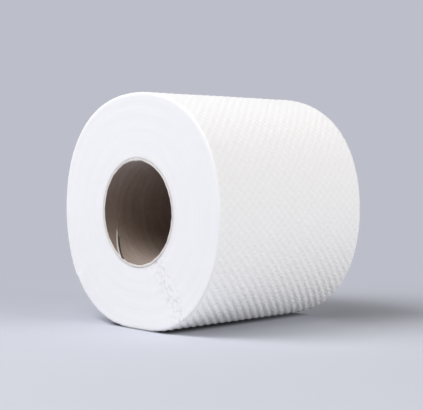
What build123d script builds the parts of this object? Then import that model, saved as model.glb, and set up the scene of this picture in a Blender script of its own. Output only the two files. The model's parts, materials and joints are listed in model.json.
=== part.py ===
from build123d import *
import math
import os

# A soft paper roll that lies on its side on a small flat spot. Millimetres, +Z up.
# The roll's axis runs along X, and the origin is under its middle, on the surface it lies on.

# The wound paper: its mean size, and how far its pack has pressed it square.
roll_diameter = 106.0
roll_width = 88.0
squared_by = 0.93
foot_chord = 30.0
foot_rounding = 2.5
rim_radius = 0.8

# The sheet: the step at its free edge, and where round the roll that edge lies.
sheet_step = 0.4
tail_angle = -35.0

# The turns that show on both ends, where the sheet has wandered sideways as it was wound:
# a band of turns lies a little deeper, and runs in a spiral from the core out to the free edge.
band_turns = 4
band_width = 3.2
band_depth = 0.3
band_cover = 1.8

# The cardboard core inside the first turn.
core_bore = 45.0
core_wall = 1.1
core_fit = 0.1

# The seam inside the core, where the edges of its inner strip of board meet as it winds round.
seam_gap = 0.8
seam_depth = 0.35
seam_pitch = 57.0
seam_angle = -65.0
seam_overrun = 3.0

# How closely curves and rims are followed.
point_spacing = 15.0
foot_easing = 9.0
rim_steps = 2
arcs_per_turn = 8

roll_radius = roll_diameter / 2
half_width = roll_width / 2
core_radius = core_bore / 2 + core_wall
first_turn_radius = core_radius + core_fit


def pressed_radius(angle):
    """The outline's radius without its foot, by degrees from +Y towards +Z: least at top, bottom and sides."""
    return roll_radius - squared_by * math.cos(math.radians(4 * angle))


def foot_half_angle():
    """The angle from straight down to the end of the foot's chord, repeated until it settles."""
    half_angle = 0.0
    for _ in range(12):
        edge_radius = pressed_radius(half_angle - 90)
        half_angle = math.degrees(math.asin(foot_chord / 2 / edge_radius))
    return half_angle


foot_angle = foot_half_angle()
axis_height = pressed_radius(foot_angle - 90) * math.cos(math.radians(foot_angle))


def wall_radius(angle):
    """The outer turn's radius, which falls by one sheet step from the free edge round to itself."""
    return pressed_radius(angle) - sheet_step * (angle - tail_angle) / 360


def polar_point(x, radius, angle):
    """A point at a radius and angle about the roll's axis."""
    across = radius * math.cos(math.radians(angle))
    height = axis_height + radius * math.sin(math.radians(angle))
    return Vector(x, across, height)


def spaced_angles(start, end):
    """Angles from start to end, evenly spaced and about one point spacing apart."""
    count = max(2, round(abs(end - start) / point_spacing))
    return [start + (end - start) * step / count for step in range(count + 1)]


def wall_heading(angle):
    """The way the outline runs at an angle, as a vector across the roll."""
    growth = 4 * squared_by * math.sin(math.radians(4 * angle))
    turn = math.radians(angle)
    across = growth * math.cos(turn) - pressed_radius(angle) * math.sin(turn)
    height = growth * math.sin(turn) + pressed_radius(angle) * math.cos(turn)
    return Vector(0, across, height)


def foot_bend(foot_edge, joint, angle):
    """The bend from the flat foot up to a joint on the wall, tangent to both."""
    heading = wall_heading(angle)
    corner = joint - heading * ((joint.Z - foot_edge.Z) / heading.Z)
    return Bezier(foot_edge, corner, joint)


def wall_outline(x, inset):
    """The closed outline at one place along the roll, set in by the rim's rounding."""
    foot_edge = foot_chord / 2 - foot_rounding
    foot_front = Vector(x, foot_edge, inset)
    foot_back = Vector(x, -foot_edge, inset)
    front_angle = foot_angle + foot_easing - 90
    back_angle = 270 - foot_angle - foot_easing
    under_turn = [
        polar_point(x, wall_radius(angle + 360) - inset, angle)
        for angle in spaced_angles(front_angle, tail_angle)
    ]
    outer_turn = [
        polar_point(x, wall_radius(angle) - inset, angle)
        for angle in spaced_angles(tail_angle, back_angle)
    ]
    return Wire([
        Line(foot_back, foot_front),
        foot_bend(foot_front, under_turn[0], front_angle),
        Spline(under_turn),
        Line(under_turn[-1], outer_turn[0]),
        Spline(outer_turn),
        foot_bend(foot_back, outer_turn[-1], back_angle),
    ])


def wound_body():
    """The wound paper without its hole: ruled from outline to outline, with both rims rounded."""
    bends = [90 * step / rim_steps for step in range(rim_steps + 1)]
    rims = [
        (half_width - rim_radius * (1 - math.sin(math.radians(bend))),
         rim_radius * (1 - math.cos(math.radians(bend))))
        for bend in bends
    ]
    left = [wall_outline(-x, inset) for x, inset in reversed(rims)]
    right = [wall_outline(x, inset) for x, inset in rims]
    return Solid.make_loft(left + right, ruled=True)


def band_radius(angle, share, side):
    """An edge of the deeper band, some share of the way from the core, where it is round, to the wall."""
    outermost = pressed_radius(angle) - band_cover - band_width / 2
    return first_turn_radius + (outermost - first_turn_radius) * share + side * band_width / 2


def band_edge(x, side):
    """One edge of the deeper band, as arcs that run on from each other, outwards to the free edge."""
    halves = 2 * arcs_per_turn * band_turns
    points = []
    for half in range(halves + 1):
        share = half / halves
        angle = tail_angle + 360 * band_turns * (1 - share)
        points.append(polar_point(x, band_radius(angle, share, side), angle))
    return [ThreePointArc(*points[start:start + 3]) for start in range(0, halves, 2)]


def deeper_band(x):
    """What the deeper band lacks of one end face, as a thin solid centred on that face."""
    inner = band_edge(x - band_depth, -1)
    outer = band_edge(x - band_depth, 1)
    start = Line(outer[0] @ 0, inner[0] @ 0)
    end = Line(inner[-1] @ 1, outer[-1] @ 1)
    strip = Face(Wire(inner + [end] + outer + [start]))
    return extrude(strip, amount=2 * band_depth, dir=(1, 0, 0))


def on_axis(shape):
    """A shape made round Z, laid along the roll's axis with its X towards +Y."""
    return Plane(origin=(0, 0, axis_height), x_dir=(0, 1, 0), z_dir=(1, 0, 0)) * shape


def paper_winding():
    """The paper's turns as one soft solid, open at the core, with its deeper band on both ends."""
    winding = wound_body() - on_axis(Cylinder(first_turn_radius, 2 * roll_width))
    winding -= deeper_band(half_width)
    winding -= deeper_band(-half_width)
    return winding


def seam():
    """The gap along the inner strip's edges: a small square section swept along a helix."""
    start = -half_width - seam_overrun
    path = Pos(0, 0, start) * Helix(seam_pitch, roll_width + 2 * seam_overrun, core_bore / 2)
    across_strip = Plane(origin=path @ 0, x_dir=(1, 0, 0), z_dir=path % 0)
    groove = sweep(across_strip * Rectangle(2 * seam_depth, seam_gap), path=path, is_frenet=True)
    lead_in = 360 * seam_overrun / seam_pitch
    return Rot(0, 0, seam_angle - lead_in) * groove


def cardboard_core():
    """The tube that the paper is wound on: strips of board glued in a spiral, cut flush with both ends."""
    tube = Cylinder(core_radius, roll_width) - Cylinder(core_bore / 2, 2 * roll_width)
    return on_axis(tube - seam())


os.makedirs("parts", exist_ok=True)
export_step(paper_winding(), "parts/paper_winding.step")
export_step(cardboard_core(), "parts/cardboard_core.step")
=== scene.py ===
"""A soft embossed toilet paper roll, lying on its side on a pale floor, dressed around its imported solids.

The winding is one closed mesh: the outer turn with its embossed dots and torn free edge, both cut
ends with their faint turns, and the wall of the hole. The core is a tube of spiral-wound board.
"""

import json
import logging
import math
from dataclasses import dataclass
from enum import Enum

import bmesh
import bpy
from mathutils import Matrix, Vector, noise

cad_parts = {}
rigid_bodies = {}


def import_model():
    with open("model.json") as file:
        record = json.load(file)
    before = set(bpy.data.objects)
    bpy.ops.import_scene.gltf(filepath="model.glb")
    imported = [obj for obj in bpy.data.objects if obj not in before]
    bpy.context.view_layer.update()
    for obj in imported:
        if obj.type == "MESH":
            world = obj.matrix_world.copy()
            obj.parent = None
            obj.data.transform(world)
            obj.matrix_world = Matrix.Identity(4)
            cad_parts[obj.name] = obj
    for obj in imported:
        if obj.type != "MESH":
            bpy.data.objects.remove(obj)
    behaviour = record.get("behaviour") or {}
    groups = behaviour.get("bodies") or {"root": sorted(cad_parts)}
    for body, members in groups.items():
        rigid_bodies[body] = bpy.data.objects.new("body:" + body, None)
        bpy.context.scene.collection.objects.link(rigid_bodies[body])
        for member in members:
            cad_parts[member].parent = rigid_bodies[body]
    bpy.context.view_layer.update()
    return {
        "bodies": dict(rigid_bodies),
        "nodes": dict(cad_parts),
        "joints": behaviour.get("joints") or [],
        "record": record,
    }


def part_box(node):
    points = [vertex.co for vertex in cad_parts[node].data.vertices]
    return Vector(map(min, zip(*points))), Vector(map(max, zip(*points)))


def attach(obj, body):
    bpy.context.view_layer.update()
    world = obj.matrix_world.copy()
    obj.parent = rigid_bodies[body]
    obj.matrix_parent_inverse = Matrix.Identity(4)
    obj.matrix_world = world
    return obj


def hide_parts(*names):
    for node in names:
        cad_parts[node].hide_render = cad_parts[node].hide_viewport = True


MM = 0.001
TURN = 2 * math.pi
SAME_PLACE = 0.001 * MM
UV_NAME = "surface_mm"
RADIUS_LAYER = "section_radius"

log = logging.getLogger("toilet_paper_roll")


class Region(Enum):
    """The parts of a ring's surface that have a finish of their own, in the order of its material slots."""

    WALL = 0
    END = 1
    BORE = 2


class Light(Enum):
    """What each softbox is for."""

    KEY = "key"
    FRONT = "front"
    SIDE = "side"


def smoothstep(low: float, high: float, value: float) -> float:
    """Returns 0 below low, 1 above high and an eased share between them."""
    share = min(1.0, max(0.0, (value - low) / (high - low)))
    return share * share * (3 - 2 * share)


def direction(azimuth: float, elevation: float) -> Vector:
    """Works out the way from the roll to a place in the studio.

    Args:
        azimuth: Degrees from -Y towards +X.
        elevation: Degrees above the level.

    Returns:
        A vector of length 1.
    """
    turned, raised = math.radians(azimuth), math.radians(elevation)
    return Vector((
        math.sin(turned) * math.cos(raised), -math.cos(turned) * math.cos(raised), math.sin(raised),
    ))


def linear(hex_colour: str) -> tuple[float, float, float, float]:
    """Turns an sRGB colour into the linear one that shaders and lamps take.

    Args:
        hex_colour: Six hex digits after a hash, such as "#F2F1EF".

    Returns:
        Red, green, blue and an alpha of 1.
    """
    channels = [int(hex_colour[start:start + 2], 16) / 255 for start in (1, 3, 5)]
    red, green, blue = (
        channel / 12.92 if channel <= 0.04045 else ((channel + 0.055) / 1.055) ** 2.4
        for channel in channels
    )
    return red, green, blue, 1.0


def add_node(
    tree: bpy.types.NodeTree,
    kind: str,
    inputs: dict[int | str, object] | None = None,
    **settings: object,
) -> bpy.types.Node:
    """Adds one node with its settings, its constant inputs and its links.

    Args:
        tree: The node tree that takes the node.
        kind: The node's type, such as "ShaderNodeMath".
        inputs: For each input's name or number, a constant or the output socket that feeds it. The
            colours of a Mix node are its inputs 6 and 7, and its mixed colour is output 2.
        **settings: The node's own properties, such as operation="ADD".

    Returns:
        The new node.
    """
    node = tree.nodes.new(kind)
    for name, value in settings.items():
        setattr(node, name, value)
    for name, value in (inputs or {}).items():
        if isinstance(value, bpy.types.NodeSocket):
            tree.links.new(value, node.inputs[name])
        else:
            node.inputs[name].default_value = value
    return node


def stretched_noise(
    tree: bpy.types.NodeTree,
    place: bpy.types.NodeSocket,
    along: float,
    across: float,
    detail: float,
) -> bpy.types.NodeSocket:
    """Adds noise that is drawn out along one way of the surface.

    Args:
        tree: The node tree that takes the noise.
        place: The UV place in millimetres.
        along: The noise's pitch along U, in metres.
        across: Its pitch along V.
        detail: How many finer layers it has.

    Returns:
        The noise, from 0 to 1.
    """
    stretched = add_node(
        tree, "ShaderNodeMapping", {"Vector": place, "Scale": (MM / along, MM / across, 1.0)}
    )
    drawn = add_node(
        tree, "ShaderNodeTexNoise",
        {"Vector": stretched.outputs[0], "Scale": 1.0, "Detail": detail},
    )
    return drawn.outputs[0]


def new_material(name: str) -> tuple[bpy.types.Material, bpy.types.NodeTree]:
    """Makes an empty material.

    Args:
        name: What the real material is called.

    Returns:
        The material and its cleared node tree.
    """
    material = bpy.data.materials.new(name)
    material.use_nodes = True
    material.node_tree.nodes.clear()
    return material, material.node_tree


@dataclass(frozen=True)
class RollPlan:
    """The roll's measures, in metres and degrees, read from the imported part's box and mounts.

    Angles run about the roll's axis from +Y towards +Z, as in the part's own frame.
    """

    half_width: float
    axis_height: float
    radius: float
    bore_radius: float
    squared_by: float = 0.93 * MM
    sheet_step: float = 0.4 * MM
    tail_angle: float = -35.0
    foot_bend: float = 1.5 * MM
    core_wall: float = 1.1 * MM
    core_fit: float = 0.1 * MM

    @classmethod
    def from_frame(cls, frame: dict) -> "RollPlan":
        """Reads the plan from the frame.


        Returns:
            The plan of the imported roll.
        """
        low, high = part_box("paper_winding")
        bore = next(mount for mount in frame["record"]["mounts"] if mount["name"] == "core_bore")
        axis_height = bore["pos_m"][2]
        worn_at_top = cls.sheet_step * (90.0 - cls.tail_angle) / 360
        return cls(
            half_width=(high.x - low.x) / 2,
            axis_height=axis_height,
            radius=high.z - axis_height + cls.squared_by + worn_at_top,
            bore_radius=bore["dims"]["r_mm"] * MM,
        )

    @property
    def core_radius(self) -> float:
        """Returns the core's outer radius."""
        return self.bore_radius + self.core_wall

    @property
    def hole_radius(self) -> float:
        """Returns the radius of the winding's hole, just clear of the core."""
        return self.core_radius + self.core_fit

    def pressed_radius(self, angle: float) -> float:
        """Returns the outline's radius without its foot: least at top, bottom and sides."""
        return self.radius - self.squared_by * math.cos(math.radians(4 * angle))

    def wall_radius(self, angle: float) -> float:
        """Works out the outer turn's radius, with the flat foot under it.

        Args:
            angle: Degrees about the axis, from the tail's angle to one turn more.

        Returns:
            The radius, eased from the wall into the foot.
        """
        wound = self.pressed_radius(angle) - self.sheet_step * (angle - self.tail_angle) / 360
        downward = -math.sin(math.radians(angle))
        if downward <= 0:
            return wound
        floor = self.axis_height / downward
        overlap = max(0.0, self.foot_bend - abs(wound - floor)) / self.foot_bend
        return min(wound, floor) - overlap * overlap * self.foot_bend / 4

    def point(self, x: float, radius: float, angle: float) -> Vector:
        """Returns the point at a radius and an angle about the roll's axis."""
        turned = math.radians(angle)
        return Vector((x, radius * math.cos(turned), self.axis_height + radius * math.sin(turned)))


@dataclass(frozen=True)
class Emboss:
    """The dots pressed into the sheet: a staggered lattice whose rows run diagonally both ways.

    Below the axis they deepen from depth to loose_depth, in full where the sine of the angle below the
    level is fully_loose.
    """

    along: float = 4.24 * MM
    around: float = 4.08 * MM
    depth: float = 0.34 * MM
    loose_depth: float = 0.72 * MM
    fully_loose: float = 0.65

    def share(self, x: float, arc: float) -> float:
        """Returns 1 on a dot's crown and 0 in the hollows between the dots."""
        return 0.5 + 0.5 * math.cos(TURN * x / self.along) * math.cos(TURN * arc / self.around)

    def depth_at(self, angle: float) -> float:
        """Works out how deep the dots are: deeper underneath, where the outer turn hangs loose.

        Args:
            angle: The angle about the roll's axis in degrees.

        Returns:
            The depth.
        """
        downward = -math.sin(math.radians(angle))
        return self.depth + (self.loose_depth - self.depth) * smoothstep(0.0, self.fully_loose, downward)


@dataclass(frozen=True)
class SpiralBand:
    """The turns that lie a little deeper in both ends, in a spiral from the core to the free edge."""

    turns: int = 4
    width: float = 3.2 * MM
    easing: float = 1.4 * MM
    depth: float = 0.06 * MM
    cover: float = 1.8 * MM

    def share(self, plan: RollPlan, radius: float, angle: float) -> float:
        """Works out how far a point of an end face lies in the band.

        Args:
            plan: The roll's measures.
            radius: The point's distance from the axis.
            angle: Its angle in degrees, from the tail's angle to one turn more.

        Returns:
            1 on the band's floor, 0 outside it.
        """
        outermost = plan.pressed_radius(angle) - self.cover - self.width / 2
        reach = outermost - plan.hole_radius
        turned = (angle - plan.tail_angle) / 360
        passes = [1 - (turned + count) / self.turns for count in range(self.turns)]
        nearest = min(abs(radius - plan.hole_radius - reach * share) for share in passes)
        edge = self.width / 2
        return 1 - smoothstep(edge - self.easing / 2, edge + self.easing / 2, nearest)


@dataclass(frozen=True)
class Crease:
    """The line down each end where the saw has dragged the turns a little sideways.

    Along it the depth is steady_share, plus or minus broken_share of a noise with break_pitch.
    """

    angle: float = -123.5
    width: float = 8.0 * MM
    depth: float = 0.2 * MM
    break_pitch: float = 1.8 * MM
    steady_share: float = 0.3
    broken_share: float = 2.0

    def share(self, radius: float, angle: float) -> float:
        """Works out how deep a point of an end face lies in the crease.

        Args:
            radius: The point's distance from the axis.
            angle: Its angle in degrees.

        Returns:
            0 outside the crease and about 1 in it, broken up along its length.
        """
        off = (angle - self.angle + 180) % 360 - 180
        across = math.radians(off) * radius
        breaks = noise.noise(Vector((radius, across, 0.0)) / self.break_pitch)
        return math.exp(-(2 * across / self.width) ** 2) * (self.steady_share + self.broken_share * breaks)


@dataclass(frozen=True)
class EmbossedTissue:
    """Creped two-ply tissue, embossed between rollers: matt white with soft dots, fine crepe and fibres."""

    colour: str = "#F7F7F7"
    hollow_shade_colour: str = "#F4F4F4"
    crown_start: float = -0.5
    crown_end: float = 0.7
    roughness: float = 0.95
    specular: float = 0.2
    crepe_pitch: float = 0.9 * MM
    crepe_run: float = 3.0 * MM
    fibre_pitch: float = 0.9 * MM
    bump: float = 0.4 * MM
    loose_below: float = 30.0 * MM
    pressed_above: float = 65.0 * MM
    pressed_share: float = 0.3

    def build(self, emboss: Emboss) -> bpy.types.Material:
        """Makes the material, on the piece's own UV map in millimetres.

        Args:
            emboss: The dots that the mesh carries, which the shading follows.

        Returns:
            The material.
        """
        # Loose white fibres scatter light evenly and hide all gloss. The hollows are painted a little
        # darker, as painted shade, and the creping blade leaves fine ridges that run along the roll. They
        # stand out underneath, where the outer turn hangs loose, and are pressed flat on top.
        material, tree = new_material("embossed_creped_tissue")
        place = add_node(tree, "ShaderNodeUVMap", uv_map=UV_NAME).outputs[0]
        parts = add_node(tree, "ShaderNodeSeparateXYZ", {0: place})
        waves = []
        for axis, pitch in ((0, emboss.along), (1, emboss.around)):
            phase = add_node(
                tree, "ShaderNodeMath", {0: parts.outputs[axis], 1: TURN * MM / pitch}, operation="MULTIPLY"
            )
            waves.append(add_node(tree, "ShaderNodeMath", {0: phase.outputs[0]}, operation="COSINE"))
        dots = add_node(
            tree, "ShaderNodeMath", {0: waves[0].outputs[0], 1: waves[1].outputs[0]}, operation="MULTIPLY"
        )
        crown = add_node(
            tree, "ShaderNodeMapRange",
            {"Value": dots.outputs[0], "From Min": self.crown_start, "From Max": self.crown_end},
            interpolation_type="SMOOTHSTEP",
        )
        crepe = stretched_noise(tree, place, self.crepe_run, self.crepe_pitch, detail=2.0)
        fibre = add_node(
            tree, "ShaderNodeTexNoise", {"Vector": place, "Scale": MM / self.fibre_pitch, "Detail": 3.0}
        )
        texture = add_node(
            tree, "ShaderNodeMath", {0: crepe, 1: fibre.outputs[0]}, operation="ADD"
        )
        body = add_node(tree, "ShaderNodeTexCoord").outputs["Object"]
        height = add_node(tree, "ShaderNodeSeparateXYZ", {0: body}).outputs[2]
        loose = add_node(
            tree, "ShaderNodeMapRange",
            {"Value": height, "From Min": self.loose_below, "From Max": self.pressed_above,
             "To Min": 1.0, "To Max": self.pressed_share},
        )
        relief = add_node(
            tree, "ShaderNodeMath", {0: texture.outputs[0], 1: loose.outputs[0]}, operation="MULTIPLY"
        )
        bump = add_node(
            tree, "ShaderNodeBump", {"Strength": 1.0, "Distance": self.bump, "Height": relief.outputs[0]}
        )
        # Painted shade: the hollows between the dots are a little darker than the crowns.
        tint = add_node(
            tree, "ShaderNodeMix",
            {0: crown.outputs[0], 6: linear(self.hollow_shade_colour), 7: linear(self.colour)},
            data_type="RGBA",
        )
        shader = add_node(
            tree, "ShaderNodeBsdfPrincipled",
            {"Base Color": tint.outputs[2], "Roughness": self.roughness,
             "Specular IOR Level": self.specular, "Normal": bump.outputs[0]},
        )
        add_node(tree, "ShaderNodeOutputMaterial", {0: shader.outputs[0]})
        return material


@dataclass(frozen=True)
class CutTissueEdges:
    """Hundreds of tissue turns sawn across: a soft matt face whose turns show only as faint arcs."""

    colour: str = "#F8F7F8"
    turn_shade: str = "#F6F5F6"
    shade_start: float = 0.35
    shade_end: float = 0.6
    crease_speck_shade: str = "#E2E1E1"
    speck_start: float = 0.46
    speck_end: float = 0.7
    roughness: float = 1.0
    specular: float = 0.1
    turn_pitch: float = 0.8 * MM
    turn_run: float = 45.0 * MM
    nap_pitch: float = 0.7 * MM
    speck_pitch: float = 1.7 * MM
    bump: float = 0.02 * MM
    light_share: float = 0.8
    light_run: float = 1.4 * MM

    def crease_shade_share(
        self, tree: bpy.types.NodeTree, place: bpy.types.NodeSocket, plan: RollPlan, crease: Crease
    ) -> bpy.types.NodeSocket:
        """Adds the painted shade along the crease: grey specks where the saw has dragged the turns.

        Args:
            tree: The material's node tree.
            place: The UV place in millimetres: across the turns, then round them at the wall's radius.
            plan: The roll's measures.
            crease: The crease that the mesh carries.

        Returns:
            1 in a speck, 0 outside.
        """
        outer = plan.radius / MM
        turned = (crease.angle - plan.tail_angle) % 360 / 360
        parts = add_node(tree, "ShaderNodeSeparateXYZ", {0: place})
        radius = add_node(
            tree, "ShaderNodeMath", {0: parts.outputs[0], 1: plan.hole_radius / MM}, operation="ADD"
        )
        off = add_node(
            tree, "ShaderNodeMath", {0: parts.outputs[1], 1: turned * TURN * outer}, operation="SUBTRACT"
        )
        across = add_node(
            tree, "ShaderNodeMath", {0: off.outputs[0], 1: radius.outputs[0]}, operation="MULTIPLY"
        )
        away = add_node(tree, "ShaderNodeMath", {0: across.outputs[0]}, operation="ABSOLUTE")
        near = add_node(
            tree, "ShaderNodeMapRange",
            {"Value": away.outputs[0], "From Max": crease.width / MM * outer, "To Min": 1.0, "To Max": 0.0},
            interpolation_type="SMOOTHSTEP",
        )
        body = add_node(tree, "ShaderNodeTexCoord").outputs["Object"]
        speck = add_node(
            tree, "ShaderNodeTexNoise", {"Vector": body, "Scale": 1 / self.speck_pitch, "Detail": 4.0}
        )
        dark = add_node(
            tree, "ShaderNodeMapRange",
            {"Value": speck.outputs[0], "From Min": self.speck_start, "From Max": self.speck_end},
        )
        share = add_node(
            tree, "ShaderNodeMath", {0: near.outputs[0], 1: dark.outputs[0]}, operation="MULTIPLY"
        )
        return share.outputs[0]

    def build(self, plan: RollPlan, crease: Crease) -> bpy.types.Material:
        """Makes the material, on the piece's own UV map in millimetres.

        Args:
            plan: The roll's measures.
            crease: The crease that the mesh carries, which the specks follow.

        Returns:
            The material.
        """
        # The saw raises a fine nap on the cut edges, so light runs a little way through them, and the
        # face and its rim look softer than the wall. Single turns are too fine to see here, so they are
        # drawn about two by two, fading in and out round the face. Along the crease, grey specks are
        # painted shade.
        material, tree = new_material("cut_tissue_edges")
        place = add_node(tree, "ShaderNodeUVMap", uv_map=UV_NAME).outputs[0]
        turns = stretched_noise(tree, place, self.turn_pitch, self.turn_run, detail=2.0)
        nap_place = add_node(tree, "ShaderNodeTexCoord").outputs["Object"]
        nap = add_node(tree, "ShaderNodeTexNoise", {"Vector": nap_place, "Scale": 1 / self.nap_pitch})
        texture = add_node(
            tree, "ShaderNodeMath", {0: turns, 1: nap.outputs[0]}, operation="ADD"
        )
        bump = add_node(
            tree, "ShaderNodeBump", {"Strength": 1.0, "Distance": self.bump, "Height": texture.outputs[0]}
        )
        shade = add_node(
            tree, "ShaderNodeMapRange",
            {"Value": turns, "From Min": self.shade_start, "From Max": self.shade_end},
        )
        clean = add_node(
            tree, "ShaderNodeMix",
            {0: shade.outputs[0], 6: linear(self.turn_shade), 7: linear(self.colour)},
            data_type="RGBA",
        )
        # Painted shade: grey specks darken the tint along the crease.
        dragged = self.crease_shade_share(tree, place, plan, crease)
        tint = add_node(
            tree, "ShaderNodeMix", {0: dragged, 6: clean.outputs[2], 7: linear(self.crease_speck_shade)},
            data_type="RGBA",
        )
        shader = add_node(
            tree, "ShaderNodeBsdfPrincipled",
            {"Base Color": tint.outputs[2], "Roughness": self.roughness,
             "Specular IOR Level": self.specular, "Subsurface Weight": self.light_share,
             "Subsurface Radius": (1.0, 1.0, 1.0), "Subsurface Scale": self.light_run,
             "Normal": bump.outputs[0]},
        )
        add_node(tree, "ShaderNodeOutputMaterial", {0: shader.outputs[0]})
        return material


@dataclass(frozen=True)
class Coreboard:
    """Recycled grey-brown paperboard, slit to strips and wound in a spiral: matt, fibrous and speckled."""

    name: str
    colour: str
    dark_colour: str
    cloud_start: float = 0.6
    cloud_end: float = 1.4
    roughness: float = 0.9
    specular: float = 0.3
    sheen: float = 0.5
    sheen_roughness: float = 0.5
    fibre_pitch: float = 0.5 * MM
    fibre_run: float = 2.0 * MM
    cloud_pitch: float = 7.0 * MM
    bump: float = 0.16 * MM

    def build(self) -> bpy.types.Material:
        """Makes the material, on the piece's own UV map, whose U runs along the strip.

        Returns:
            The material.
        """
        # Recycled fibres lie mostly along the strip, so the board is streaked that way, with clouds of
        # lighter and darker stock. It has no gloss, but its raised fibres catch light at a low angle.
        material, tree = new_material(self.name)
        place = add_node(tree, "ShaderNodeUVMap", uv_map=UV_NAME).outputs[0]
        fibre = stretched_noise(tree, place, self.fibre_run, self.fibre_pitch, detail=4.0)
        cloud = add_node(
            tree, "ShaderNodeTexNoise", {"Vector": place, "Scale": MM / self.cloud_pitch, "Detail": 3.0}
        )
        mixed = add_node(
            tree, "ShaderNodeMath", {0: fibre, 1: cloud.outputs[0]}, operation="ADD"
        )
        shade = add_node(
            tree, "ShaderNodeMapRange",
            {"Value": mixed.outputs[0], "From Min": self.cloud_start, "From Max": self.cloud_end},
        )
        tint = add_node(
            tree, "ShaderNodeMix",
            {0: shade.outputs[0], 6: linear(self.dark_colour), 7: linear(self.colour)},
            data_type="RGBA",
        )
        bump = add_node(
            tree, "ShaderNodeBump", {"Strength": 1.0, "Distance": self.bump, "Height": fibre}
        )
        shader = add_node(
            tree, "ShaderNodeBsdfPrincipled",
            {"Base Color": tint.outputs[2], "Roughness": self.roughness,
             "Specular IOR Level": self.specular, "Sheen Weight": self.sheen,
             "Sheen Roughness": self.sheen_roughness, "Normal": bump.outputs[0]},
        )
        add_node(tree, "ShaderNodeOutputMaterial", {0: shader.outputs[0]})
        return material


@dataclass
class SpunRing:
    """A closed ring about the roll's axis: a rectangular section spun a full turn, then shaped.

    Each point of the section keeps its place along the axis, its radius and its column round the ring.
    """

    name: str
    length: float
    inner: float
    outer: float
    outer_rounding: float
    inner_rounding: float
    wall_cuts: int
    end_cuts: int
    bore_cuts: int
    spin_steps: int
    columns_per_step: int = 8
    rounding_steps: int = 3

    @property
    def columns(self) -> int:
        """Returns how many columns of faces run round the ring."""
        return self.spin_steps * self.columns_per_step

    def section(self) -> bmesh.types.BMesh:
        """Makes the section: a rectangle with rounded corners and its sides cut for shaping.

        Returns:
            The section in the XY plane, with Y as the radius.
        """
        ring = bmesh.new()
        corners = [
            ring.verts.new((side * self.length / 2, radius, 0.0))
            for side, radius in ((-1, self.inner), (-1, self.outer), (1, self.outer), (1, self.inner))
        ]
        ring.faces.new(corners)
        rims = ((corners[1:3], self.outer_rounding), (corners[0::3], self.inner_rounding))
        for pair, rounding in rims:
            if rounding:
                bmesh.ops.bevel(
                    ring, geom=pair, offset=rounding, offset_type="OFFSET", affect="VERTICES",
                    segments=self.rounding_steps, profile=0.5, material=-1,
                )
        bmesh.ops.delete(ring, geom=list(ring.faces), context="FACES_ONLY")
        half_wall = (self.outer - self.inner) / 2
        for edge in list(ring.edges):
            start, end = edge.verts[0].co, edge.verts[1].co
            if abs(start.x - end.x) > self.length / 2:
                outside = start.y > self.inner + half_wall
                cuts = self.wall_cuts if outside else self.bore_cuts
            elif abs(start.y - end.y) > half_wall:
                cuts = self.end_cuts
            else:
                cuts = 0
            if cuts:
                bmesh.ops.subdivide_edges(ring, edges=[edge], cuts=cuts)
        return ring

    def spin(self) -> bmesh.types.BMesh:
        """Spins the section a full turn about X in few steps, then cuts each step into its columns.

        Returns:
            The closed ring, with its first column on +Y and each point's radius in RADIUS_LAYER.
        """
        ring = self.section()
        kept_radius = ring.verts.layers.float.new(RADIUS_LAYER)
        for vert in ring.verts:
            vert[kept_radius] = vert.co.y
        bmesh.ops.spin(
            ring, geom=list(ring.verts) + list(ring.edges), cent=(0, 0, 0), axis=(1, 0, 0), dvec=(0, 0, 0),
            angle=TURN, steps=self.spin_steps, use_merge=True,
        )
        around = []
        for edge in ring.edges:
            start, end = edge.verts
            same_radius = abs(start[kept_radius] - end[kept_radius]) < SAME_PLACE
            if same_radius and abs(start.co.x - end.co.x) < SAME_PLACE:
                around.append(edge)
        bmesh.ops.subdivide_edges(ring, edges=around, cuts=self.columns_per_step - 1, use_grid_fill=True)
        return ring

    def column(self, place: Vector) -> int:
        """Returns the column that a point of the spun ring lies in."""
        turned = math.atan2(place.z, place.y) / TURN
        return round(turned * self.columns) % self.columns

    def region(self, places: list[tuple[float, float, int]]) -> Region:
        """Tells which part of the ring a face belongs to: the rounded rims are part of the cut ends.

        Args:
            places: Each corner's place along the axis, radius and column, before shaping.

        Returns:
            The face's region.
        """
        x = sum(place[0] for place in places) / len(places)
        radius = sum(place[1] for place in places) / len(places)
        if abs(x) > self.length / 2 - max(self.outer_rounding, self.inner_rounding):
            return Region.END
        if radius > self.outer - self.outer_rounding:
            return Region.WALL
        return Region.BORE

    def shaped(self, x: float, radius: float, column: int) -> Vector:
        """Returns where a point of the spun ring belongs on the piece."""
        raise NotImplementedError

    def surface_place(self, region: Region, x: float, radius: float, column: int) -> tuple[float, float]:
        """Returns a point's UV place, in millimetres along the surface."""
        raise NotImplementedError

    def build(self, materials: dict[Region, bpy.types.Material], sharp_degrees: float) -> bpy.types.Object:
        """Spins, shapes and dresses the ring.

        Args:
            materials: The finish of each region.
            sharp_degrees: Edges that bend by more than this stay sharp.

        Returns:
            The piece, at the origin.
        """
        ring = self.spin()
        ring.verts.index_update()
        kept_radius = ring.verts.layers.float[RADIUS_LAYER]
        places = [(vert.co.x, vert[kept_radius], self.column(vert.co)) for vert in ring.verts]
        surface = ring.loops.layers.uv.new(UV_NAME)
        for face in ring.faces:
            corners = [places[vert.index] for vert in face.verts]
            crosses_start = {0, self.columns - 1} <= {corner[2] for corner in corners}
            region = self.region(corners)
            face.material_index = region.value
            face.smooth = True
            for loop, (x, radius, column) in zip(face.loops, corners):
                if crosses_start and column == 0:
                    column = self.columns
                loop[surface].uv = self.surface_place(region, x, radius, column)
        for vert, (x, radius, column) in zip(ring.verts, places):
            vert.co = self.shaped(x, radius, column)
        bmesh.ops.recalc_face_normals(ring, faces=ring.faces)
        for edge in ring.edges:
            edge.smooth = edge.calc_face_angle() < math.radians(sharp_degrees)
        mesh = bpy.data.meshes.new(self.name)
        ring.to_mesh(mesh)
        ring.free()
        for region in Region:
            mesh.materials.append(materials[region])
        piece = bpy.data.objects.new(self.name, mesh)
        bpy.context.scene.collection.objects.link(piece)
        return piece


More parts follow.
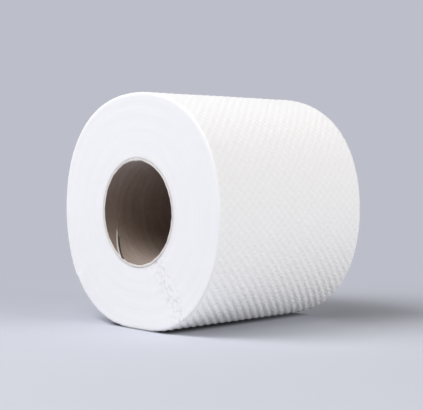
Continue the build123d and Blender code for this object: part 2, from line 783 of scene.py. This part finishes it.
@dataclass(kw_only=True)
class TissueWinding(SpunRing):
    """All the tissue's turns: the embossed outer turn with its free edge, both cut ends, and the hole."""

    plan: RollPlan
    emboss: Emboss = Emboss()
    band: SpiralBand = SpiralBand()
    crease: Crease = Crease()
    edge_gap: float = 0.1 * MM
    edge_lift: float = 0.15 * MM
    edge_lift_run: float = 14.0 * MM
    tear: float = 0.35 * MM
    tear_pitch: float = 1.4 * MM
    tear_wander: float = 14.0 * MM
    torn_columns: int = 4
    slackness: float = 0.15 * MM
    slack_run: float = 26.0 * MM
    rim_fade: float = 2.0 * MM
    rim_relief: float = 0.35
    foot_fade: float = 0.4 * MM
    unevenness: float = 0.05 * MM
    uneven_run: float = 9.0 * MM

    @classmethod
    def from_plan(cls, plan: RollPlan) -> "TissueWinding":
        """Sizes the ring and its mesh: six faces to each embossed dot's pitch, both ways.

        Args:
            plan: The roll's measures.

        Returns:
            The winding, ready to build.
        """
        faces_per_pitch = 6
        rim = 0.8 * MM
        lengthways = (2 * plan.half_width - 2 * rim) / Emboss.along * faces_per_pitch
        around = TURN * plan.radius / Emboss.around * faces_per_pitch
        return cls(
            name="tissue_winding", length=2 * plan.half_width, inner=plan.hole_radius, outer=plan.radius,
            outer_rounding=rim, inner_rounding=0.0, wall_cuts=round(lengthways) - 1, end_cuts=30,
            bore_cuts=3, spin_steps=round(around / cls.columns_per_step), plan=plan,
        )

    def angle(self, x: float, column: int) -> float:
        """Works out a column's angle: they start at the free edge and end just short of it.

        Args:
            x: The place along the roll, where the torn edge wanders a little.
            column: The column's number.

        Returns:
            The angle in degrees.
        """
        span = 360 - math.degrees(self.edge_gap / self.plan.radius)
        angle = self.plan.tail_angle + span * column / (self.columns - 1)
        from_edge = min(column, self.columns - 1 - column)
        fine = noise.noise(Vector((x / self.tear_pitch, 0.0, 1.0)))
        ragged = fine + noise.noise(Vector((x / self.tear_wander, 0.0, 2.0)))
        near_edge = max(0.0, 1 - from_edge / self.torn_columns)
        return angle + math.degrees(self.tear * ragged / self.plan.radius) * near_edge

    def wall_point_radius(self, x: float, angle: float, arc: float) -> float:
        """Works out the outer turn's radius at one point, with its dots, its slack and its free edge.

        Args:
            x: The place along the roll.
            angle: The angle in degrees, from the free edge's to one turn more.
            arc: The distance from the free edge, along the sheet.

        Returns:
            The radius.
        """
        plan = self.plan
        smooth = plan.wall_radius(angle)
        height = plan.axis_height + smooth * math.sin(math.radians(angle))
        lifted = smoothstep(0.0, self.foot_fade, height)
        from_rim = smoothstep(plan.half_width, plan.half_width - self.rim_fade, abs(x))
        relief = self.rim_relief + (1 - self.rim_relief) * from_rim
        hollow = (1 - self.emboss.share(x, arc)) * relief + 0.5 * (1 - relief)
        dots = self.emboss.depth_at(angle) * hollow
        around = plan.point(x, plan.radius, angle) / self.slack_run
        slack = self.slackness * (0.5 + 0.5 * noise.noise(around))
        lift = self.edge_lift * (1 - smoothstep(0.0, self.edge_lift_run, arc))
        return smooth - (dots + slack - lift) * lifted

    def end_depth(self, radius: float, angle: float) -> float:
        """Works out how far a point of an end face lies below that face's plane.

        Args:
            radius: The point's distance from the axis.
            angle: Its angle in degrees.

        Returns:
            The depth.
        """
        in_band = self.band.depth * self.band.share(self.plan, radius, angle)
        in_crease = self.crease.depth * max(0.0, self.crease.share(radius, angle))
        around = self.plan.point(0.0, radius, angle) / self.uneven_run
        uneven = self.unevenness * (0.5 + 0.5 * noise.noise(around))
        return in_band + in_crease + uneven

    def shaped(self, x: float, radius: float, column: int) -> Vector:
        """Works out where a point of the spun ring belongs on the winding.

        Args:
            x: The point's place along the axis.
            radius: Its radius in the spun section.
            column: Its column, counted from the free edge.

        Returns:
            Its place on the roll.
        """
        angle = self.angle(x, column)
        arc = math.radians(angle - self.plan.tail_angle) * self.plan.radius
        rim_start = self.outer - self.outer_rounding
        wall = self.wall_point_radius(x, angle, arc)
        if radius > rim_start:
            return self.plan.point(x, wall - (self.outer - radius), angle)
        share = (radius - self.inner) / (rim_start - self.inner)
        radius = self.inner + share * (wall - self.outer_rounding - self.inner)
        depth = 0.0
        if abs(x) > self.length / 2 - SAME_PLACE:
            near_rim = smoothstep(wall - self.outer_rounding, wall - 3 * self.outer_rounding, radius)
            depth = self.end_depth(radius, angle) * near_rim
        return self.plan.point(math.copysign(abs(x) - depth, x), radius, angle)

    def surface_place(self, region: Region, x: float, radius: float, column: int) -> tuple[float, float]:
        """Works out a point's UV place in millimetres: on an end, across the turns and round them.

        Args:
            region: The part of the ring that the point's face belongs to.
            x: The point's place along the axis.
            radius: Its radius in the spun section.
            column: Its column, counted from the free edge.

        Returns:
            U along the roll or across the turns, and V round it.
        """
        turned = column / self.columns
        arc = turned * TURN * self.plan.radius
        if region is Region.END:
            return (radius - self.inner + self.plan.sheet_step * turned) / MM, arc / MM
        return x / MM, arc / MM


@dataclass(kw_only=True)
class CardboardCore(SpunRing):
    """The tube that the tissue is wound on: strips of board glued in a spiral, cut flush at both ends."""

    plan: RollPlan
    seam_pitch: float = 57.0 * MM
    seam_angle: float = -65.0
    seam_gap: float = 0.8 * MM
    seam_depth: float = 0.4 * MM
    seam_easing: float = 0.4 * MM
    seam_closing: float = 0.8
    ply_lip: float = 0.12 * MM
    lip_run: float = 0.8 * MM
    burr: float = 0.3 * MM
    burr_pitch: float = 2.4 * MM
    burr_run: float = 1.5 * MM
    unevenness: float = 0.08 * MM
    uneven_run: float = 12.0 * MM
    open_run: float = 5.5 * MM
    seam_highlight_run: float = 5.5 * MM
    seam_columns: int = 16
    seam_reach: float = 3.4 * MM

    @classmethod
    def from_plan(cls, plan: RollPlan) -> "CardboardCore":
        """Sizes the tube and its mesh.

        Args:
            plan: The roll's measures.

        Returns:
            The core, ready to build.
        """
        return cls(
            name="spiral_board_core", length=2 * plan.half_width, inner=plan.bore_radius,
            outer=plan.core_radius, outer_rounding=0.15 * MM, inner_rounding=0.2 * MM, wall_cuts=79,
            end_cuts=1, bore_cuts=79, spin_steps=17, plan=plan,
        )

    @property
    def slant(self) -> float:
        """Returns how much longer a strip's width is when it is measured round the bore."""
        return math.hypot(TURN * self.inner, self.seam_pitch) / self.seam_pitch

    @property
    def half_gap(self) -> float:
        """Returns half the seam's width, measured round the bore."""
        return self.seam_gap * self.slant / 2

    def from_mouth(self, x: float) -> float:
        """Returns how far a place along the tube lies from its nearer mouth."""
        return self.plan.half_width - abs(x)

    def region(self, places: list[tuple[float, float, int]]) -> Region:
        """Tells which part of the tube a face belongs to.

        The open seam shows the outer ply, darkened as painted shade in the groove. Beside it, the strip's
        edge
        is painted as pale as a cut one: paler fibres, and a painted highlight where its edge catches light.

        Args:
            places: Each corner's place along the axis, radius and column, before shaping.

        Returns:
            The face's region.
        """
        region = super().region(places)
        if region is not Region.BORE:
            return region
        offset = sum(self.seam_offset(place[2]) for place in places) / len(places)
        depth = min(self.from_mouth(place[0]) for place in places)
        # Painted shade: the open seam near the mouth takes the dark outer-ply board.
        if abs(offset) < self.half_gap and depth < self.open_run:
            return Region.WALL
        # Painted highlight: the strip's edge beside the seam takes the pale cut board.
        if 0 < offset - self.half_gap < 2 * self.half_gap and depth < self.seam_highlight_run:
            return Region.END
        return region

    def seam_offset(self, column: int) -> float:
        """Works out a column's distance from the seam's middle, along the bore.

        Args:
            column: The column's number. The first ones lie close together across the seam.

        Returns:
            The distance, from before the seam right round to before it again.
        """
        if column <= self.seam_columns:
            return self.seam_reach * (2 * column / self.seam_columns - 1)
        share = (column - self.seam_columns) / (self.columns - self.seam_columns)
        return self.seam_reach + share * (TURN * self.inner - 2 * self.seam_reach)

    def shaped(self, x: float, radius: float, column: int) -> Vector:
        """Works out where a point of the spun ring belongs on the core.

        Args:
            x: The point's place along the axis.
            radius: Its radius in the spun section.
            column: Its column, counted across the seam first.

        Returns:
            Its place on the tube.
        """
        offset = self.seam_offset(column)
        turned = 360 * (x + self.plan.half_width) / self.seam_pitch
        angle = self.seam_angle + turned + math.degrees(offset / self.inner)
        bore = 1 - smoothstep(self.inner, self.inner + self.plan.core_wall / 2, radius)
        depth = self.from_mouth(x)
        edge = self.half_gap
        easing = self.seam_easing / 2
        groove = self.seam_depth * (1 - smoothstep(edge - easing, edge + easing, abs(offset)))
        groove *= 1 - self.seam_closing * smoothstep(self.open_run / 2, self.open_run, depth)
        lip = 0.0
        if offset > 0:
            lip = self.ply_lip * math.exp(-((offset - edge) / self.lip_run - 1) ** 2)
        place = self.plan.point(x, radius, angle)
        uneven = self.unevenness * noise.noise(place / self.uneven_run)
        at_mouth = 1 - smoothstep(0.0, self.burr_run, depth)
        burr = self.burr * noise.noise(place / self.burr_pitch) * at_mouth
        return self.plan.point(x, radius + (groove - lip + uneven + burr) * bore, angle)

    def surface_place(self, region: Region, x: float, radius: float, column: int) -> tuple[float, float]:
        """Works out a point's UV place in millimetres: along the strip, then across it.

        Args:
            region: The part of the ring that the point's face belongs to.
            x: The point's place along the axis.
            radius: Its radius in the spun section.
            column: Its column, counted across the seam first.

        Returns:
            U along the strip and V across it, or round the cut end and across its wall.
        """
        if region is Region.END:
            return self.seam_offset(column) / MM, radius / MM
        return x * self.slant / MM, self.seam_offset(column) / self.slant / MM


@dataclass(frozen=True)
class Softbox:
    """A square area lamp that faces the roll. Its distance and size are in metres."""

    light: Light
    azimuth: float
    elevation: float
    watts: float
    colour: str
    size: float = 0.6
    distance: float = 1.3

    def build(self, target: Vector) -> None:
        """Makes the lamp.

        Args:
            target: The point that it faces.
        """
        away = direction(self.azimuth, self.elevation)
        lamp = bpy.data.lights.new(f"{self.light.value}_softbox", "AREA")
        lamp.shape = "SQUARE"
        lamp.size = self.size
        lamp.energy = self.watts
        lamp.color = linear(self.colour)[:3]
        placed = bpy.data.objects.new(lamp.name, lamp)
        placed.location = target + away * self.distance
        placed.rotation_mode = "QUATERNION"
        placed.rotation_quaternion = (-away).to_track_quat("-Z", "Y")
        bpy.context.scene.collection.objects.link(placed)


@dataclass(frozen=True)
class PhotoCamera:
    """The photograph's viewpoint: its direction, distance and lens, fitted to the roll's outline."""

    azimuth: float = -43.28
    elevation: float = 2.31
    distance: float = 495.0 * MM
    sideways: float = 0.14 * MM
    upwards: float = 2.13 * MM
    lens: float = 91.98
    sensor: float = 36.0
    near_clip: float = 10.0 * MM

    def build(self, plan: RollPlan) -> None:
        """Makes the camera and sets it as the scene's.

        Args:
            plan: The roll's measures.
        """
        back = direction(self.azimuth, self.elevation)
        right = direction(self.azimuth + 90, 0.0)
        up = back.cross(right)
        data = bpy.data.cameras.new("photo_camera")
        data.lens = self.lens
        data.sensor_width = self.sensor
        data.clip_start = self.near_clip
        camera = bpy.data.objects.new("photo_camera", data)
        axis = Vector((0.0, 0.0, plan.axis_height))
        camera.location = axis + back * self.distance + right * self.sideways + up * self.upwards
        camera.rotation_mode = "QUATERNION"
        camera.rotation_quaternion = (-back).to_track_quat("-Z", "Y")
        bpy.context.scene.collection.objects.link(camera)
        bpy.context.scene.camera = camera


@dataclass(frozen=True)
class Studio:
    """The pale floor, the plain backdrop colour behind it, the softboxes and the camera.

    Tints and fades start and end at distances behind the roll's middle, away from the photo's viewpoint.
    The round fade starts and ends at distances from it on every side. All are in metres.
    """

    plan: RollPlan
    backdrop: str = "#BCBEC9"
    ambient: str = "#FFF8F0"
    ambient_strength: float = 0.1
    floor_reach: float = 3.0
    floor_colour: str = "#CDD0D8"
    # The paper behind the roll is painted darker, as painted shade where the light falls off.
    far_floor_shade_colour: str = "#C9CCD6"
    # The floor beside the roll's foot is painted darker: a painted contact shadow.
    contact_shadow_colour: str = "#83858B"
    contact_shadow_start: float = 15.0 * MM
    contact_shadow_end: float = 24.0 * MM
    contact_shadow_easing: float = 4.0 * MM
    far_shade_start: float = -0.14
    far_shade_end: float = 0.06
    fade_start: float = -0.02
    fade_end: float = 0.22
    round_fade_start: float = 0.3
    round_fade_end: float = 0.9

    def build_world(self) -> None:
        """Makes the world: the backdrop's colour to the camera, and a soft even light on the roll."""
        world = bpy.data.worlds.new("studio_air")
        world.use_nodes = True
        tree = world.node_tree
        tree.nodes.clear()
        seen = add_node(tree, "ShaderNodeBackground", {"Color": linear(self.backdrop), "Strength": 1.0})
        lit = add_node(
            tree, "ShaderNodeBackground", {"Color": linear(self.ambient), "Strength": self.ambient_strength}
        )
        path = add_node(tree, "ShaderNodeLightPath")
        mixed = add_node(
            tree, "ShaderNodeMixShader",
            {0: self.backdrop_rays(tree, path), 1: lit.outputs[0], 2: seen.outputs[0]},
        )
        add_node(tree, "ShaderNodeOutputWorld", {0: mixed.outputs[0]})
        bpy.context.scene.world = world

    def backdrop_rays(self, tree: bpy.types.NodeTree, path: bpy.types.Node) -> bpy.types.NodeSocket:
        """Adds a test for the rays that see the backdrop's colour.

        Args:
            tree: The node tree that takes the test.
            path: Its Light Path node.

        Returns:
            1 for camera, glossy and transmission rays, 0 for the rest.
        """
        first = add_node(
            tree, "ShaderNodeMath",
            {0: path.outputs["Is Camera Ray"], 1: path.outputs["Is Glossy Ray"]}, operation="MAXIMUM",
        )
        both = add_node(
            tree, "ShaderNodeMath", {0: first.outputs[0], 1: path.outputs["Is Transmission Ray"]},
            operation="MAXIMUM",
        )
        return both.outputs[0]

    def floor_material(self) -> bpy.types.Material:
        """Makes the seamless paper that the roll lies on: matt, and running into the backdrop behind.

        Returns:
            The material.
        """
        # Seamless background paper is matt and even. Behind the roll it is painted darker as painted shade,
        # where the light falls off, and there and far away on every side it fades to the backdrop's colour.
        material, tree = new_material("seamless_paper")
        place = add_node(tree, "ShaderNodeTexCoord").outputs["Object"]
        lit = add_node(
            tree, "ShaderNodeBsdfPrincipled",
            {"Base Color": self.floor_tint(tree, place), "Roughness": 1.0, "Specular IOR Level": 0.0},
        )
        seen = add_node(tree, "ShaderNodeEmission", {"Color": linear(self.backdrop), "Strength": 1.0})
        swept = self.behind_share(tree, place, self.fade_start, self.fade_end)
        reach = add_node(tree, "ShaderNodeVectorMath", {0: place}, operation="LENGTH")
        far = add_node(
            tree, "ShaderNodeMapRange",
            {"Value": reach.outputs["Value"], "From Min": self.round_fade_start,
             "From Max": self.round_fade_end},
            interpolation_type="SMOOTHSTEP",
        )
        faded = add_node(tree, "ShaderNodeMath", {0: swept, 1: far.outputs[0]}, operation="MAXIMUM")
        path = add_node(tree, "ShaderNodeLightPath")
        share = add_node(
            tree, "ShaderNodeMath", {0: faded.outputs[0], 1: self.backdrop_rays(tree, path)},
            operation="MULTIPLY",
        )
        mixed = add_node(
            tree, "ShaderNodeMixShader", {0: share.outputs[0], 1: lit.outputs[0], 2: seen.outputs[0]}
        )
        add_node(tree, "ShaderNodeOutputMaterial", {0: mixed.outputs[0]})
        return material

    def behind_share(
        self, tree: bpy.types.NodeTree, place: bpy.types.NodeSocket, start: float, end: float
    ) -> bpy.types.NodeSocket:
        """Adds a share that grows behind the roll, away from the photo's viewpoint.

        Args:
            tree: The floor's node tree.
            place: The floor's own coordinates.
            start: The distance behind the roll's middle at which the share starts.
            end: The distance at which it is full.

        Returns:
            0 before the start, 1 after the end.
        """
        behind = add_node(
            tree, "ShaderNodeVectorMath", {0: place, 1: -direction(PhotoCamera.azimuth, 0.0)},
            operation="DOT_PRODUCT",
        )
        share = add_node(
            tree, "ShaderNodeMapRange",
            {"Value": behind.outputs["Value"], "From Min": start, "From Max": end},
            interpolation_type="SMOOTHSTEP",
        )
        return share.outputs[0]

    def floor_tint(self, tree: bpy.types.NodeTree, place: bpy.types.NodeSocket) -> bpy.types.NodeSocket:
        """Adds the paper's tint: painted shade behind the roll, and a painted shadow beside the roll's
        foot.

        Args:
            tree: The floor's node tree.
            place: The floor's own coordinates.

        Returns:
            The tint.
        """
        parts = add_node(tree, "ShaderNodeSeparateXYZ", {0: place})
        easing = self.contact_shadow_easing / 2
        lengthways = (self.plan.half_width - easing, self.plan.half_width + easing)
        shares = []
        for axis, (start, end) in enumerate((lengthways, (self.contact_shadow_start, self.contact_shadow_end))):
            out = add_node(tree, "ShaderNodeMath", {0: parts.outputs[axis]}, operation="ABSOLUTE")
            shares.append(add_node(
                tree, "ShaderNodeMapRange",
                {"Value": out.outputs[0], "From Min": start, "From Max": end, "To Min": 1.0, "To Max": 0.0},
                interpolation_type="SMOOTHSTEP",
            ))
        # Painted contact shadow: darkens the floor in the gap beside the roll's foot.
        contact_shadow_share = add_node(
            tree, "ShaderNodeMath", {0: shares[0].outputs[0], 1: shares[1].outputs[0]}, operation="MULTIPLY"
        )
        # Painted shade: the paper darkens behind the roll, where the light falls off.
        distance_shade_tint = add_node(
            tree, "ShaderNodeMix",
            {0: self.behind_share(tree, place, self.far_shade_start, self.far_shade_end),
             6: linear(self.floor_colour), 7: linear(self.far_floor_shade_colour)},
            data_type="RGBA",
        )
        tint = add_node(
            tree, "ShaderNodeMix",
            {0: contact_shadow_share.outputs[0], 6: distance_shade_tint.outputs[2], 7: linear(self.contact_shadow_colour)},
            data_type="RGBA",
        )
        return tint.outputs[2]

    def build_floor(self) -> None:
        """Makes the floor under the roll."""
        sheet = bmesh.new()
        bmesh.ops.create_grid(sheet, x_segments=8, y_segments=8, size=self.floor_reach)
        mesh = bpy.data.meshes.new("studio_floor")
        sheet.to_mesh(mesh)
        sheet.free()
        mesh.materials.append(self.floor_material())
        floor = bpy.data.objects.new("studio_floor", mesh)
        bpy.context.scene.collection.objects.link(floor)

    def softboxes(self) -> list[Softbox]:
        """Returns the lamps: a large key beside the cut end, a weak one in front, a low one on the wall."""
        return [
            Softbox(Light.KEY, azimuth=-113.0, elevation=49.0, watts=15.2, colour="#FCFCFF", size=0.8),
            Softbox(Light.FRONT, azimuth=-64.0, elevation=56.0, watts=3.2, colour="#FCFDFF"),
            Softbox(Light.SIDE, azimuth=16.0, elevation=15.0, watts=9.1, colour="#FFFCF9"),
        ]

    def build(self) -> None:
        """Builds the whole studio."""
        self.build_world()
        self.build_floor()
        target = Vector((0.0, 0.0, self.plan.axis_height))
        for softbox in self.softboxes():
            softbox.build(target)
        PhotoCamera().build(self.plan)
        bpy.context.scene.view_settings.view_transform = "Standard"


def main() -> None:
    """Builds the pieces in order, dresses them and reports each."""
    logging.basicConfig(level=logging.INFO, format="%(name)s: %(message)s")
    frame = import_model()
    plan = RollPlan.from_frame(frame)

    winding = TissueWinding.from_plan(plan)
    tissue = EmbossedTissue().build(winding.emboss)
    cut_edges = CutTissueEdges().build(plan, winding.crease)
    turns = winding.build(
        {Region.WALL: tissue, Region.END: cut_edges, Region.BORE: tissue}, sharp_degrees=50.0
    )
    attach(turns, "root")
    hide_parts("paper_winding")
    log.info("%s: %d faces", turns.name, len(turns.data.polygons))

    # This dark board is the hidden outer ply, and in the seam's groove it is painted shade.
    outer_ply_and_seam_shade = Coreboard("outer_ply_and_painted_seam_shade", colour="#51453C", dark_colour="#443930")
    board = Coreboard("spiral_wound_coreboard", colour="#A89486", dark_colour="#897567")
    # Besides the sawn ends, this pale board paints a highlight on the strip's edge beside the seam.
    cut_board_and_seam_highlight = Coreboard(
        "sawn_coreboard_edge_and_seam_highlight", colour="#EFEBE7", dark_colour="#D2CAC2", fibre_pitch=0.3 * MM
    )
    core = CardboardCore.from_plan(plan)
    tube = core.build(
        {Region.WALL: outer_ply_and_seam_shade.build(), Region.END: cut_board_and_seam_highlight.build(), Region.BORE: board.build()},
        sharp_degrees=35.0,
    )
    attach(tube, "root")
    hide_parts("cardboard_core")
    log.info("%s: %d faces", tube.name, len(tube.data.polygons))

    Studio(plan).build()


if __name__ == "__main__":
    main()
